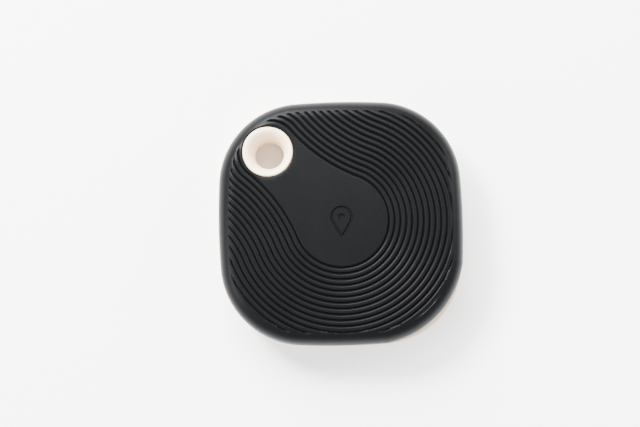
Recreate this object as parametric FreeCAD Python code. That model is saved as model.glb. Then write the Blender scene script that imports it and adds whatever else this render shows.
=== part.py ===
import FreeCAD, Part
import math
import os

from FreeCAD import Vector

# A square, keyring-sized Bluetooth tag: a soft-skinned front half that is also the button, a rear half with a
# moulded eyelet, and between them a circuit board with a tact switch, a sounder and a coin cell. The board is
# screwed to the front half, so pulling the rear half off bares the cell.
#
# Units are millimetres. The tag lies on its back: z = 0 is the flat rear face, +Z points out of the front, and
# the eyelet is in the -X +Y corner. Each function below makes one piece or one group of like pieces, and save()
# writes it to parts/NAME.step.

# ---- Outline, seen from the front: four shallow side arcs joined by four corner arcs
half_width = 18.5
side_radius = 110.0
corner_radius = 12.5

# ---- Heights, from the rear face up
thickness = 9.0  # rear face to the middle of the domed front
crown_radius = 260.0  # the dome of the front
parting = 2.6  # where the front half meets the rear half
rim_fillet = 2.6  # round edge of the front
rear_fillet = 2.0  # round edge of the rear
rear_step = 0.15  # how far the rear half stands back from the front half

# ---- Walls
skin_side = 0.85
skin_top = 0.9
carrier_wall = 0.8
carrier_ceiling = 7.2  # underside of the carrier's plate
plug_gap = 0.06  # between the carrier's skirt and the rear half's upstand
plug_wall = 0.89
plug_top = 5.4
floor = 1.0  # thickness of the rear wall
seam = 0.05  # gap between the skin's lower edge and the rear half
carrier_fillet = 1.1  # inside the carrier, between plate and skirt
collar_wall = 0.7  # around the hole for the eyelet
cell_rib_gap, cell_rib_wall, cell_rib_top = 0.9, 0.7, 2.4
cell_rib_degrees = 50.0

# ---- Seal between the halves, in a groove that follows the outline
gasket_outer, gasket_inner = 0.9, 1.6  # insets of the groove
gasket_low, gasket_top = 1.95, 2.85

# ---- Snaps: four barbs in the front half and four pockets in the rear half
hook_length = 4.0
hook_low, hook_high = 3.5, 4.2
hook_depth = 0.3
pocket_depth = 0.4
pocket_play = 0.1  # between barb and pocket, above, below and three times that at the ends

# ---- Pry corner, +X -Y, where the skin stands back so that a coin can lift it
pry_radius = 14.5
coin_slot_width, coin_slot_height = 7.0, 0.65

# ---- Eyelet
eyelet_x, eyelet_y = -10.8, 10.8
throat_radius = 2.2
throat_shift = 0.22  # how far the throat is from the eyelet's middle, in +X and in -Y
throat_low, throat_high = 3.3, 5.3
mouth_radius = 3.55  # where the front flare ends
mouth_height = 8.38
mouth_tilt = 4.1  # degrees; the lip leans outwards with the front's surface
flare_sections = 6
eyelet_radius = 3.8
eyelet_bore = 3.88  # the hole in the front half that the eyelet passes through
back_mouth_radius = 3.3
tube_radius = 3.2
eyelet_wall = 1.0
eyelet_rounding = 0.18
ring_centre_z = 6.55  # O-ring around the eyelet
ring_section = 0.66

# ---- Button
button_radius = 6.35
button_hole = 6.5  # hole in the skin
carrier_hole = 6.7
membrane_low = 7.75
press_travel = 0.3
press_gap = 0.02  # between the button's boss and the switch, and between other parts that just meet
plunger_radius, plunger_thickness = 4.0, 0.4
boss_radius = 1.2
stiffener_length, stiffener_width, stiffener_depth = 7.0, 0.5, 0.2

# ---- Board, its screws and the cell
screw_shank = 0.5
screw_post = 1.5
screw_head = 1.1
screw_head_height = 0.55
screw_tip = 6.95
board_inset = 2.8
board_low = 4.75
board_top = 5.55
post_reach = 10.8  # board posts and their screws, in the three corners without the eyelet
cell_low, cell_high = 1.35, 4.55  # CR2032, 20 mm by 3.2 mm
cell_radius = 10.0
clip_sheet = 0.2
clip_width, clip_foot = 7.0, 1.6
switch_half = 2.25
switch_top = 7.05

UP = Vector(0, 0, 1)
FAR = 60.0  # longer than the tag in any direction
BITE = 0.1  # how far a shape runs into one that it is joined to or cut from


# ---- Shapes that several pieces share


def corner_centre():
    """The coordinate c of a corner arc's centre (c, c) that makes it tangent to its two side arcs."""
    reach = side_radius - half_width
    difference = side_radius - corner_radius
    return (math.sqrt(2 * difference**2 - reach**2) - reach) / 2


def arc(centre, radius, start, end):
    """An arc in the plane z = 0 about centre, between two angles in radians."""
    points = [
        centre + Vector(radius * math.cos(a), radius * math.sin(a), 0)
        for a in (start, (start + end) / 2, end)
    ]
    return Part.Arc(*points).toShape()


def outline(inset=0.0):
    """The tag's outline, drawn in by inset, as a closed wire at z = 0."""
    c = corner_centre()
    side = Vector(half_width - side_radius, 0, 0)
    spread = math.atan2(c, c - side.x)
    edges = []
    for quarter in range(4):
        turn = quarter * math.pi / 2
        spin = FreeCAD.Rotation(UP, math.degrees(turn))
        edges.append(
            arc(spin.multVec(side), side_radius - inset, turn - spread, turn + spread)
        )
        edges.append(
            arc(
                spin.multVec(Vector(c, c, 0)),
                corner_radius - inset,
                turn + spread,
                turn + math.pi / 2 - spread,
            )
        )
    return Part.Wire(edges)


def slab(inset, low, high):
    """The outline, drawn in by inset, as a straight-sided block from low to high."""
    face = Part.Face(outline(inset))
    face.translate(Vector(0, 0, low))
    return face.extrude(Vector(0, 0, high - low))


def ring(outer, inner, low, high):
    """A wall that follows the outline, between two insets."""
    return slab(outer, low, high).cut(slab(inner, low - 1, high + 1))


def flat_edges(shape, low, high):
    """The edges of shape that lie wholly between two heights."""
    return [
        e
        for e in shape.Edges
        if e.BoundBox.ZMin >= low - 1e-4 and e.BoundBox.ZMax <= high + 1e-4
    ]


def pillow(inset, low, crown, fillet):
    """A block with the outline's shape, a domed top that is crown high in the middle, and a round top edge."""
    ball = Part.makeSphere(crown_radius, Vector(0, 0, crown - crown_radius))
    block = slab(inset, low, crown + 1).common(ball)
    drop = (half_width * math.sqrt(2)) ** 2 / crown_radius
    return block.makeFillet(fillet, flat_edges(block, crown - drop, crown + 1))


def tray(inset, fillet):
    """A block from the rear face to the parting line with a round lower edge."""
    block = slab(inset, 0, parting)
    return block.makeFillet(fillet, flat_edges(block, 0, 0))


def post(x, y, radius, low, high):
    return Part.makeCylinder(radius, high - low, Vector(x, y, low))


def drill(x, y, radius):
    """A hole right through the tag."""
    return post(x, y, radius, -BITE, thickness + BITE)


def block(x, y, width, depth, low, high):
    """A box centred on x, y."""
    corner = Vector(x - width / 2, y - depth / 2, low)
    return Part.makeBox(width, depth, high - low, corner)


def spun(points, x=0.0, y=0.0):
    """A solid of revolution about the upright line through x, y. points are (radius, height)."""
    corners = [Vector(r, 0, z) for r, z in points]
    face = Part.Face(Part.makePolygon(corners + corners[:1]))
    solid = face.revolve(Vector(0, 0, 0), UP, 360)
    solid.translate(Vector(x, y, 0))
    return solid


def ring_sector(inner, wall, degrees, low, high):
    """Part of a round wall about the middle, centred on the +X +Y diagonal."""
    face = Part.Face(
        Part.makePolygon(
            [
                Vector(inner, 0, low),
                Vector(inner + wall, 0, low),
                Vector(inner + wall, 0, high),
                Vector(inner, 0, high),
                Vector(inner, 0, low),
            ]
        )
    )
    sector = face.revolve(Vector(0, 0, 0), UP, degrees)
    sector.rotate(Vector(0, 0, 0), UP, 45 - degrees / 2)
    return sector


def fused(first, *others):
    """One solid from several that touch or overlap."""
    return first.fuse(list(others)).removeSplitter()


def spokes(solid, count=4):
    """Copies of solid, evenly turned about the tag's middle."""
    copies = []
    for i in range(count):
        copy = solid.copy()
        copy.rotate(Vector(0, 0, 0), UP, i * 360 / count)
        copies.append(copy)
    return copies


def save(name, *solids):
    """Writes one piece, or a group of separate like pieces, to parts/name.step."""
    found = [s for shape in solids for s in shape.Solids]
    for solid in found:
        if not solid.isValid() or solid.Volume <= 0:
            raise ValueError(f"{name} holds a broken solid")
    shape = found[0] if len(found) == 1 else Part.makeCompound(found)
    shape.exportStep(f"parts/{name}.step")
    print(f"{name}: {len(found)} solid(s), {shape.Volume:.2f} mm3")


# ---- The pry corner


def pry_corner():
    """(distance from the middle to the chord across the corner arc, half that chord)."""
    c = corner_centre()
    spread = math.atan2(c, c - (half_width - side_radius))
    along = corner_radius * math.cos(math.pi / 4 - spread)
    half = corner_radius * math.sin(math.pi / 4 - spread)
    return c * math.sqrt(2) + along, half


def corner_block(distance, low, high, half_length=FAR / 2):
    """A box that holds everything further than distance from the middle, towards the pry corner."""
    box = Part.makeBox(
        FAR, 2 * half_length, high - low, Vector(distance, -half_length, low)
    )
    box.rotate(Vector(0, 0, 0), UP, -45)
    return box


def pry_cut():
    """What the pry corner loses: all that is beyond a flatter arc through the ends of the corner arc."""
    chord, half = pry_corner()
    centre = (chord - math.sqrt(pry_radius**2 - half**2)) / math.sqrt(2)
    return corner_block(chord, 0, thickness + 1).cut(
        post(centre, -centre, pry_radius, -1, thickness + 2)
    )


def coin_slot():
    c = corner_centre()
    reach = c * math.sqrt(2) + corner_radius
    return corner_block(
        reach - skin_side - 0.5,
        0,
        parting + coin_slot_height,
        coin_slot_width / 2,
    )


# ---- Front half


def eyelet_hole():
    return drill(eyelet_x, eyelet_y, eyelet_bore)


def carrier_shape(low):
    """The outside of the rigid carrier, which is the inside of the skin."""
    return pillow(skin_side, low, thickness - skin_top, rim_fillet - skin_side)


def front_skin():
    """Soft overmoulded skin, with a round hole for the part of it that is pressed."""
    skin = pillow(0, parting + seam, thickness, rim_fillet).cut(
        [
            carrier_shape(0),
            eyelet_hole(),
            drill(0, 0, button_hole),
            pry_cut(),
            coin_slot(),
        ]
    )
    save("front_skin", skin)


def screw_places():
    """The three corners without the eyelet."""
    return [(sx * post_reach, sy * post_reach) for sx, sy in ((1, 1), (-1, -1), (1, -1))]


def front_carrier():
    """Rigid shell under the skin: a plate with a skirt, a collar around the eyelet and posts over the board."""
    inset = skin_side + carrier_wall
    hollow = slab(inset, 0, carrier_ceiling)
    rim = flat_edges(hollow, carrier_ceiling, carrier_ceiling)
    hollow = hollow.makeFillet(carrier_fillet, rim)
    shell = carrier_shape(gasket_top + press_gap).cut(hollow)
    collar_low = board_top + 2 * BITE
    collar_outer = eyelet_bore + collar_wall
    collar = post(eyelet_x, eyelet_y, collar_outer, collar_low, carrier_ceiling + BITE)
    collar = collar.common(carrier_shape(0))
    holds = [
        post(x, y, screw_post, board_top, carrier_ceiling + BITE)
        for x, y in screw_places()
    ]
    pilots = [
        post(x, y, screw_shank + press_gap, board_top - BITE, screw_tip + BITE)
        for x, y in screw_places()
    ]
    shell = fused(shell, collar, *holds)
    shell = shell.cut([eyelet_hole(), drill(0, 0, carrier_hole)] + pilots)
    save("front_carrier", shell)


def snap_hooks():
    """Four barbs on the inside of the carrier's skirt, flat on top and sloped below."""
    wall = half_width - skin_side - carrier_wall
    profile = [
        (wall + BITE, hook_low),
        (wall + BITE, hook_high),
        (wall - hook_depth, hook_high),
        (wall - hook_depth, hook_high - hook_depth),
        (wall, hook_low),
    ]
    corners = [Vector(x, -hook_length / 2, z) for x, z in profile]
    barb = Part.Face(Part.makePolygon(corners + corners[:1])).extrude(
        Vector(0, hook_length, 0)
    )
    barb = barb.common(slab(skin_side + carrier_wall, 0, thickness))
    save("snap_hooks", *spokes(barb))


def button_membrane():
    """The part of the skin that is pressed."""
    disc = post(0, 0, button_radius, membrane_low, thickness + BITE)
    ball = Part.makeSphere(crown_radius, Vector(0, 0, thickness - crown_radius))
    save("button_membrane", disc.common(ball))


def button_plunger():
    """Rigid disc bonded under the membrane, with two stiffeners and a boss that meets the switch."""
    disc_low = membrane_low - plunger_thickness
    low = disc_low - stiffener_depth
    disc = post(0, 0, plunger_radius, disc_low, membrane_low)
    boss = post(0, 0, boss_radius, switch_top + press_gap, disc_low)
    bar = block(0, 0, stiffener_length, stiffener_width, low, disc_low)
    save("button_plunger", fused(disc, boss, *spokes(bar, 4)[:2]))


# ---- Rear half


def lean_out(shape):
    """Tips a shape at the origin the way the lip leans, and moves it to the lip."""
    shape.rotate(Vector(0, 0, 0), Vector(-1, -1, 0), mouth_tilt)
    shape.translate(Vector(eyelet_x, eyelet_y, mouth_height))
    return shape


def eyelet_outside():
    """The eyelet's tube with its foot, its shoulder, the O-ring's groove and its leaning head."""
    foot = back_mouth_radius + eyelet_wall
    head_low = board_top + seam
    groove_half = ring_section / 2 + press_gap
    tube = spun(
        [
            (0, floor / 2),
            (foot, floor / 2),
            (foot, 2 * floor),
            (tube_radius, throat_low),
            (tube_radius, head_low),
            (eyelet_radius, head_low),
            (eyelet_radius, ring_centre_z - groove_half),
            (tube_radius, ring_centre_z - groove_half),
            (tube_radius, ring_centre_z + groove_half),
            (eyelet_radius, ring_centre_z + groove_half),
            (eyelet_radius, thickness),
            (0, thickness),
        ],
        eyelet_x,
        eyelet_y,
    )
    cap_depth = 2 * eyelet_rounding
    above = Part.makeBox(FAR, FAR, FAR, Vector(-FAR / 2, -FAR / 2, -cap_depth))
    cap = Part.makeCylinder(eyelet_radius, 2 * cap_depth, Vector(0, 0, -2 * cap_depth))
    cap = cap.makeFillet(eyelet_rounding, flat_edges(cap, 0, 0))
    return fused(tube.cut(lean_out(above)), lean_out(cap))


def flare_ring(share):
    """A round section of the front flare, at a share of the way from the throat to the lip."""
    turn = share * math.pi / 2
    radius = mouth_radius - (mouth_radius - throat_radius) * math.cos(turn)
    height = throat_high + (mouth_height - throat_high) * math.sin(turn)
    ring_wire = Part.Wire(Part.makeCircle(radius))
    ring_wire.rotate(Vector(0, 0, 0), Vector(-1, -1, 0), mouth_tilt * share)
    shift = throat_shift * (1 - share)
    ring_wire.translate(Vector(eyelet_x + shift, eyelet_y - shift, height))
    return ring_wire


def eyelet_passage():
    """The hole through the eyelet: a straight throat that flares out to the front and to the back."""
    rings = [flare_ring(i / flare_sections) for i in range(flare_sections + 1)]
    front = Part.makeLoft(rings, True)
    mouth = lean_out(Part.makeCylinder(mouth_radius, thickness / 2))
    tall = throat_low
    wide = back_mouth_radius - throat_radius
    ellipse = Part.Ellipse(
        Vector(back_mouth_radius, 0, tall + tall),
        Vector(back_mouth_radius + wide, 0, tall),
        Vector(back_mouth_radius, 0, tall),
    )
    corners = [
        Vector(back_mouth_radius, 0, 0),
        Vector(back_mouth_radius, 0, -BITE),
        Vector(0, 0, -BITE),
        Vector(0, 0, throat_high),
        Vector(throat_radius, 0, throat_high),
        Vector(throat_radius, 0, throat_low),
    ]
    edges = [Part.makeLine(a, b) for a, b in zip(corners, corners[1:])]
    edges.append(Part.ArcOfEllipse(ellipse, math.pi, 1.5 * math.pi).toShape())
    wire = Part.Wire(Part.sortEdges(edges)[0])
    back = Part.Face(wire).revolve(Vector(0, 0, 0), UP, 360)
    back.translate(Vector(eyelet_x + throat_shift, eyelet_y - throat_shift, 0))
    return [back, front, mouth]


def cell_ribs():
    """Four low walls on the floor that keep the cell from sliding."""
    inner = cell_radius + cell_rib_gap
    rib = ring_sector(
        inner, cell_rib_wall, cell_rib_degrees, floor - BITE, cell_rib_top
    )
    return spokes(rib)


def hook_pockets():
    """Pockets in the upstand's outer face that the barbs snap into."""
    pocket = block(
        half_width - skin_side - carrier_wall - plug_gap,
        0,
        2 * pocket_depth,
        hook_length + 6 * pocket_play,
        hook_low - pocket_play,
        hook_high + pocket_play,
    )
    return spokes(pocket)


def rear_shell():
    """Tray with an upstand that plugs into the front half, low ribs around the cell and the eyelet."""
    plug_outer = skin_side + carrier_wall + plug_gap
    upstand = slab(plug_outer, parting - floor / 2, plug_top)
    pry_ledge = tray(0, rear_fillet).common(corner_block(pry_corner()[0], 0, parting))
    shell = fused(tray(rear_step, rear_fillet), pry_ledge, upstand)
    shell = shell.cut(slab(plug_outer + plug_wall, floor, thickness))
    shell = fused(shell, eyelet_outside(), *cell_ribs())
    groove = ring(gasket_outer, gasket_inner, gasket_low, parting + BITE)
    for tool in [groove] + eyelet_passage() + hook_pockets():
        shell = shell.cut(tool)
    save("rear_shell", shell)


def housing_gasket():
    """Silicone seal in the rear half's groove, under the carrier's skirt."""
    seal = ring(gasket_outer + seam, gasket_inner - seam, gasket_low, gasket_top)
    save("housing_gasket", seal)


def eyelet_seal():
    """O-ring around the eyelet, inside the carrier's collar."""
    middle = tube_radius + ring_section / 2
    save(
        "eyelet_seal",
        Part.makeTorus(middle, ring_section / 2, Vector(eyelet_x, eyelet_y, ring_centre_z)),
    )


# ---- Board and what is soldered to it


def circuit_board():
    board = slab(board_inset, board_low, board_top)
    holes = [drill(eyelet_x, eyelet_y, eyelet_radius + 2 * BITE)]
    holes += [drill(x, y, screw_shank + BITE) for x, y in screw_places()]
    save("circuit_board", board.cut(holes))


def board_screws():
    """Three thread-forming screws that hold the board to the carrier's posts, with cross recesses."""
    screws = []
    for x, y in screw_places():
        head = spun(
            [
                (0, board_low - screw_head_height),
                (screw_head * 0.8, board_low - screw_head_height),
                (screw_head, board_low - screw_head_height * 0.6),
                (screw_head, board_low),
                (screw_shank, board_low),
                (screw_shank, screw_tip - 0.3),
                (0, screw_tip),
            ],
            x,
            y,
        )
        bottom = board_low - screw_head_height
        cross = [
            block(x, y, 1.2, 0.3, bottom - 0.1, bottom + 0.3),
            block(x, y, 0.3, 1.2, bottom - 0.1, bottom + 0.3),
        ]
        screws.append(head.cut(cross))
    save("board_screws", *screws)


def tact_switch():
    """A square surface-mount switch: base, snap dome, key, sheet-metal frame and four legs."""
    size = 2 * switch_half
    cavity_floor = board_top + 0.2
    base_top = board_top + 0.8
    frame_top = base_top + 0.2
    base = block(0, 0, size, size, board_top, base_top)
    save("switch_base", base.cut(post(0, 0, 1.9, cavity_floor, base_top + 1)))
    dome_span, dome_rise, dome_sheet = 1.7, press_travel, 0.08
    bend = (dome_span**2 + dome_rise**2) / (2 * dome_rise)
    centre = Vector(0, 0, cavity_floor + 0.02 + dome_rise - bend)
    dome = Part.makeSphere(bend + dome_sheet, centre).cut(Part.makeSphere(bend, centre))
    save("switch_dome", dome.common(post(0, 0, dome_span, cavity_floor + 0.02, base_top)))
    key_low = cavity_floor + 0.02 + dome_rise + dome_sheet + 0.02
    key = fused(
        post(0, 0, 1.4, key_low, base_top - 0.02), post(0, 0, 1.0, key_low, switch_top)
    )
    save("switch_key", key)
    frame = block(0, 0, size, size, base_top, frame_top)
    save("switch_frame", frame.cut(post(0, 0, 1.08, base_top - 1, frame_top + 1)))
    legs = [
        block(sx * (switch_half + 0.45), sy * 1.5, 0.9, 0.7, board_top, board_top + 0.15)
        for sx in (1, -1)
        for sy in (1, -1)
    ]
    save("switch_legs", *legs)


def sounder():
    """A piezo sounder: case with a sound hole, disc and three terminals."""
    x, y, side = 9.2, 4.2, 9.0
    top = board_top + 1.55
    case = block(x, y, side, side, board_top + 0.1, top)
    inner = post(x, y, side / 2 - 0.4, board_top + 0.5, top - 0.3)
    case = case.cut([inner, post(x + 2.2, y + 2.2, 0.6, top - 1, top + 1)])
    save("sounder_case", case)
    seat = post(x, y, side / 2 - 0.42, board_top + 0.52, board_top + 0.62)
    save("sounder_disc", seat)
    pads = [
        block(x + dx * side / 3, y + dy * (side / 2 - 0.6), 1.4, 1.2, board_top, board_top + 0.1)
        for dx, dy in ((-1, -1), (1, -1), (-1, 1))
    ]
    save("sounder_terminals", *pads)


def board_parts():
    """Chips, crystals, aerial and the small parts on the front of the board."""

    def chip(name, x, y, width, depth, height):
        save(name, block(x, y, width, depth, board_top, board_top + height))

    chip("bluetooth_chip", -8.5, -1.0, 5.0, 5.0, 0.85)
    chip("main_crystal", -8.5, -5.4, 2.0, 1.6, 0.5)
    chip("clock_crystal", -13.2, -1.0, 1.5, 3.2, 0.8)
    chip("chip_antenna", 2.5, -14.2, 3.2, 1.6, 1.2)
    chip("sounder_coil", 8.6, -5.0, 3.0, 3.0, 1.3)
    chip("sounder_driver", 12.9, -4.2, 1.6, 2.9, 1.05)
    chip("status_led", -3.0, 13.6, 1.6, 0.8, 0.6)
    small = (1.0, 0.5, 0.5)
    capacitors = [(-5.0, -2.6), (-5.0, -1.2), (-5.0, 0.2), (-8.5, 2.6), (-10.2, 2.6)]
    capacitors += [(-6.2, -5.9), (-10.8, -5.9), (-1.0, -13.2), (5.6, -12.6)]
    save(
        "capacitors",
        *[block(x, y, *small[:2], board_top, board_top + small[2]) for x, y in capacitors],
        block(2.4, -8.6, 2.0, 1.25, board_top, board_top + 1.1),
        block(5.2, -8.6, 2.0, 1.25, board_top, board_top + 1.1),
    )
    resistors = [(-0.6, 13.6), (-3.0, 11.6), (12.6, -7.2), (10.6, -7.6), (-6.4, 4.6)]
    save(
        "resistors",
        *[block(x, y, 1.0, 0.5, board_top, board_top + 0.35) for x, y in resistors],
    )


# ---- Battery


def battery_clip():
    """Strap under the cell's positive face, with two legs up to feet on the back of the board."""
    inside = cell_radius + 0.35
    strap_low = cell_low - 0.02 - clip_sheet
    strap = block(0, 0, 2 * (inside + clip_sheet), clip_width, strap_low, strap_low + clip_sheet)
    pieces = []
    for side in (1, -1):
        leg_x = side * (inside + clip_sheet / 2)
        pieces.append(block(leg_x, 0, clip_sheet, clip_width, strap_low, board_low))
        foot_x = side * (inside + clip_sheet + clip_foot / 2)
        foot_low = board_low - clip_sheet
        pieces.append(block(foot_x, 0, clip_foot, clip_width, foot_low, board_low))
    clip = fused(strap, *pieces)
    slots = [
        block(side * 4.6, y, 5.0, 0.5, 0, cell_low) for side in (1, -1) for y in (1.4, -1.4)
    ]
    slots += [block(side * 2.1, 0, 0.5, 3.3, 0, cell_low) for side in (1, -1)]
    save("battery_clip", clip.cut(slots))


def negative_contact():
    """Spring spider on the back of the board that meets the cell's negative cap."""
    low, high = cell_high + 0.02, board_low
    hub = post(0, 0, 1.6, low, high)
    arms = spokes(block(3.2, 0, 4.0, 1.0, low + 0.06, high), 3)
    save("negative_contact", fused(hub, *arms))


def coin_cell():
    """A CR2032: can, cap, sealing ring, cathode, separator and lithium."""
    r, low, high = cell_radius, cell_low, cell_high
    sheet = 0.25
    can = [(0, low), (r, low), (r, high - 0.25), (r - 0.7, high - 0.25), (r - 0.7, high - 0.45)]
    can += [(r - sheet, high - 0.45), (r - sheet, low + sheet), (0, low + sheet)]
    save("cell_can", spun(can))
    brim = r - 0.55
    cap = [(0, high), (8.7, high), (8.7, 2.6), (brim, 2.6), (brim, 2.35), (8.45, 2.35)]
    cap += [(8.45, high - sheet), (0, high - sheet)]
    save("cell_cap", spun(cap))
    seal = [(8.75, 2.65), (brim + 0.05, 2.65), (brim + 0.05, low + sheet + 0.02)]
    seal += [(r - sheet - 0.02, low + sheet + 0.02), (r - sheet - 0.02, high - 0.47)]
    seal += [(r - 0.72, high - 0.47), (r - 0.72, high - 0.3), (8.75, high - 0.3)]
    save("cell_seal", spun(seal))
    save("cell_cathode", post(0, 0, 8.3, low + sheet, 2.9))
    save("cell_separator", post(0, 0, 8.3, 2.9, 3.0))
    save("cell_lithium", post(0, 0, 8.2, 3.0, high - sheet))


def main():
    os.makedirs("parts", exist_ok=True)
    front_skin()
    front_carrier()
    snap_hooks()
    button_membrane()
    button_plunger()
    rear_shell()
    housing_gasket()
    eyelet_seal()
    circuit_board()
    board_screws()
    tact_switch()
    sounder()
    board_parts()
    battery_clip()
    negative_contact()
    coin_cell()


main()
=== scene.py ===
import math

import bpy
import numpy as np
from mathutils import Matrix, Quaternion, Vector
from mathutils.geometry import delaunay_2d_cdt


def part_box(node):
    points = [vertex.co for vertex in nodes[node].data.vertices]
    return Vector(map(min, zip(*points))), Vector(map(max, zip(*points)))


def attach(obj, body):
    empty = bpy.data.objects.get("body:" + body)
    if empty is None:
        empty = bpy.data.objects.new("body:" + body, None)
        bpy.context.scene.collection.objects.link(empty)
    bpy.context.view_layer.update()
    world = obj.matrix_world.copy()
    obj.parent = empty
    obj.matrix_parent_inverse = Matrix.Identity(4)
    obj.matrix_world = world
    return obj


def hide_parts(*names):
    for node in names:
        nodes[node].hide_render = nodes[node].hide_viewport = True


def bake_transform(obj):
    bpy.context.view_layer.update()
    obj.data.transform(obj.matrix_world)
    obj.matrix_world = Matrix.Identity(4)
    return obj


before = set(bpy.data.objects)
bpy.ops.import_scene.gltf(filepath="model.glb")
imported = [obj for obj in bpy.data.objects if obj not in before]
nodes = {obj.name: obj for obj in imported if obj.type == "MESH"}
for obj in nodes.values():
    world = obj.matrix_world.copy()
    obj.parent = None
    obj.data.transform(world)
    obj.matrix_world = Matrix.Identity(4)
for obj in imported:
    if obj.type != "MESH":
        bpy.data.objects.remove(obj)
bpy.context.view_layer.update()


# ---- The view
# The tag lies on its back on a pale table. The camera looks almost straight down on it from about a foot
# away, a few degrees off towards the -Y edge. The eyelet is in the -X +Y corner.

bpy.ops.object.select_all(action="DESELECT")

mm = 0.001
view_height = math.radians(84.3)
view_distance = 280 * mm
view_width = 97.6 * mm  # what the camera takes in, side to side, at the tag
roll = math.radians(-1.3)
aim = Vector((-3.1, 1.67, 4.0)) * mm
back = Vector((0, -math.cos(view_height), math.sin(view_height)))
bpy.ops.object.camera_add(location=aim + back * view_distance)
camera = bpy.context.object
camera.data.lens = camera.data.sensor_width * view_distance / view_width
camera.rotation_mode = "QUATERNION"
camera.rotation_quaternion = (-back).to_track_quat("-Z", "Y") @ Quaternion((0, 0, 1), roll)
bpy.context.scene.camera = camera


def lamp(name, place, size, power):
    """A soft square light that shines at the tag."""
    bpy.ops.object.light_add(type="AREA", location=place)
    light = bpy.context.object
    light.name = name
    light.data.size = size
    light.data.energy = power
    light.rotation_mode = "QUATERNION"
    light.rotation_quaternion = (-Vector(place)).to_track_quat("-Z", "Y")


lamp("window_light", (-0.20, 0.50, 0.34), size=0.42, power=18.0)
lamp("corner_light", (-0.34, 0.34, 0.42), size=0.16, power=14.0)
lamp("top_light", (0.02, 0.28, 0.46), size=0.25, power=3.0)
lamp("right_light", (0.50, 0.20, 0.30), size=0.30, power=3.0)
lamp("left_light", (-0.50, -0.10, 0.30), size=0.30, power=3.5)

room = bpy.data.worlds.new("room")
bpy.context.scene.world = room
room.use_nodes = True
walls = room.node_tree.nodes["Background"]
walls.inputs["Color"].default_value = (0.93, 0.96, 1, 1)
walls.inputs["Strength"].default_value = 2.4


# ---- The table
# A smooth sheet of white board, so wide that its edges are out of sight from any side. It isn't part of the
# tag, and it lies a hair below the tag's back so that the two don't share a surface.


class Reading:
    """A number that changes over a surface: the output of one node."""

    def __init__(self, finish, socket):
        self.finish = finish
        self.socket = socket

    def maths(self, operation, *values):
        return self.finish.node("ShaderNodeMath", {"operation": operation}, dict(enumerate(values)))

    def __add__(self, other):
        return self.maths("ADD", self, other)

    def __sub__(self, other):
        return self.maths("SUBTRACT", self, other)

    def __mul__(self, other):
        return self.maths("MULTIPLY", self, other)

    def __mod__(self, other):
        return self.maths("FLOORED_MODULO", self, other)

    def __gt__(self, other):
        return self.maths("GREATER_THAN", self, other)

    def __lt__(self, other):
        return self.maths("LESS_THAN", self, other)

    def __rsub__(self, other):
        return self.maths("SUBTRACT", other, self)

    def __abs__(self):
        return self.maths("ABSOLUTE", self)

    __radd__ = __add__
    __rmul__ = __mul__

    def least(self, other):
        return self.maths("MINIMUM", self, other)

    def most(self, other):
        return self.maths("MAXIMUM", self, other)

    def length_with(self, other):
        """Distance from the origin of the pair (self, other)."""
        return self.maths("SQRT", self * self + other * other)


class Finish:
    """One material on a principled shader, its colour and roughness plain until something varies them."""

    def __init__(self, name, colour, roughness, metallic=0.0, **constants):
        self.material = bpy.data.materials.new(name)
        self.material.use_nodes = True
        self.tree = self.material.node_tree
        self.shader = self.tree.nodes["Principled BSDF"]
        self.set("Base Color", (*colour, 1))
        self.set("Roughness", roughness)
        self.set("Metallic", metallic)
        for key, value in constants.items():
            self.set(key.replace("_", " "), value)
        self.place = self.node("ShaderNodeTexCoord", {}, {}, out="Object")

    def set(self, key, value):
        """Fills one of the shader's sockets."""
        self.fill(self.shader.inputs[key], value)

    def fill(self, socket, value):
        """Links a reading to a socket, or sets the socket to a constant."""
        if isinstance(value, Reading):
            self.tree.links.new(value.socket, socket)
        else:
            socket.default_value = value

    def node(self, kind, settings, values, out=0):
        """Adds a node, sets it up, fills its sockets by name or number and gives one of its outputs."""
        made = self.tree.nodes.new(kind)
        for key, value in settings.items():
            setattr(made, key, value)
        for key, value in values.items():
            self.fill(made.inputs[key], value)
        return Reading(self, made.outputs[out])

    def noise(self, size, detail=2.0, stretch=None):
        """Cloudy noise from 0 to 1 whose patches are about size across."""
        place = self.place
        if stretch:
            place = self.node("ShaderNodeMapping", {}, {"Vector": place, "Scale": stretch})
        return self.node("ShaderNodeTexNoise", {}, {"Vector": place, "Scale": 1 / size, "Detail": detail})

    def part_of(self, vector, letter):
        """The x, y or z of a vector."""
        return self.node("ShaderNodeSeparateXYZ", {}, {0: vector}, out=letter.upper())

    def axis(self, letter):
        """Where a point of the surface lies along x, y or z."""
        return self.part_of(self.place, letter)

    def facing(self, letter):
        """How squarely the surface faces along x, y or z, from 0 to 1."""
        return abs(self.part_of(self.node("ShaderNodeTexCoord", {}, {}, out="Normal"), letter))

    def mix(self, factor, first, second):
        """Blends two colours. A Mix node takes colours in its sockets 6 and 7 and gives one from its 2."""
        first, second = (c if isinstance(c, Reading) else (*c, 1) for c in (first, second))
        return self.node("ShaderNodeMix", {"data_type": "RGBA"}, {0: factor, 6: first, 7: second}, out=2)

    def bump(self, height, depth):
        """Relief that catches the light: height is 0 to 1, depth is its real depth."""
        self.set("Normal", self.node("ShaderNodeBump", {}, {"Distance": depth, "Height": height}))

    def on(self, *pieces):
        """Gives pieces this material and no other."""
        for piece in pieces:
            piece.data.materials.clear()
            piece.data.materials.append(self.material)


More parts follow.
